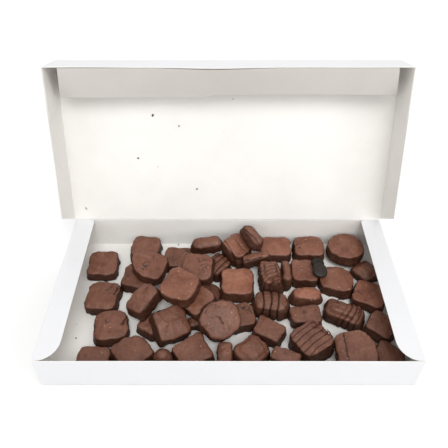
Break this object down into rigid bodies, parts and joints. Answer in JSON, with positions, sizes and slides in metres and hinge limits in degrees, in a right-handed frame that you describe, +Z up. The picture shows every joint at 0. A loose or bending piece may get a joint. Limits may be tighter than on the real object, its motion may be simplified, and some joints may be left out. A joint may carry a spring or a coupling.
{
  "type": "box of brownies and cookies",
  "caption": "Wide shallow white card box with its hinged lid standing open, holding a loose heap of chocolate coated brownies, cookies, fingers and striped sweets.",
  "frame": {"origin": "middle of the tray's underside", "axes": "+X along the long side, +Z up, -Y towards the person who opens the box"},
  "size_m": [0.3414, 0.227, 0.2181],
  "materials": {
    "white_board": "smooth white carton board",
    "milk_chocolate": "satin milk chocolate coating",
    "dark_chocolate": "satin dark chocolate"
  },
  "bodies": {
    "tray": {"tray": "white_board", "bar_01": "milk_chocolate", "bar_02": "milk_chocolate", "bar_03": "milk_chocolate", "barrel_01": "milk_chocolate", "brownie_01": "milk_chocolate", "brownie_02": "milk_chocolate", "brownie_03": "milk_chocolate", "brownie_04": "milk_chocolate", "brownie_05": "milk_chocolate", "brownie_06": "milk_chocolate", "brownie_07": "milk_chocolate", "brownie_08": "milk_chocolate", "brownie_09": "milk_chocolate", "brownie_10": "milk_chocolate", "brownie_11": "milk_chocolate", "brownie_12": "milk_chocolate", "brownie_13": "milk_chocolate", "brownie_14": "milk_chocolate", "brownie_15": "milk_chocolate", "brownie_16": "milk_chocolate", "brownie_17": "milk_chocolate", "brownie_18": "milk_chocolate", "brownie_19": "milk_chocolate", "brownie_20": "milk_chocolate", "brownie_21": "milk_chocolate", "brownie_22": "milk_chocolate", "brownie_23": "milk_chocolate", "brownie_24": "milk_chocolate", "brownie_25": "milk_chocolate", "brownie_26": "milk_chocolate", "brownie_27": "milk_chocolate", "brownie_28": "milk_chocolate", "brownie_29": "milk_chocolate", "brownie_30": "milk_chocolate", "brownie_31": "milk_chocolate", "chip_01": "dark_chocolate", "chip_02": "dark_chocolate", "cookie_01": "milk_chocolate", "cookie_02": "milk_chocolate", "cookie_03": "milk_chocolate", "cookie_04": "milk_chocolate", "finger_01": "milk_chocolate", "finger_02": "milk_chocolate", "finger_03": "milk_chocolate", "finger_04": "milk_chocolate", "striped_01": "milk_chocolate", "striped_02": "milk_chocolate", "striped_03": "milk_chocolate", "striped_04": "milk_chocolate", "striped_05": "milk_chocolate"},
    "lid": {"lid": "white_board"},
    "lid_flap": {"lid_flap": "white_board"}
  },
  "joints": [
    {"name": "lid_hinge", "type": "hinge", "parent": "tray", "child": "lid", "pos_m": [0, 0.086, 0.04], "axis": [1, 0, 0], "range_deg": [-72, 108]},
    {"name": "lid_flap_fold", "type": "hinge", "parent": "lid", "child": "lid_flap", "pos_m": [0, 0.10246, 0.21687], "axis": [1, 0, 0], "range_deg": [-38, 56.5]}
  ],
  "couplings": [
    {"joint": "lid_flap_fold", "follows": "lid_hinge", "ratio": 0.5185}
  ]
}
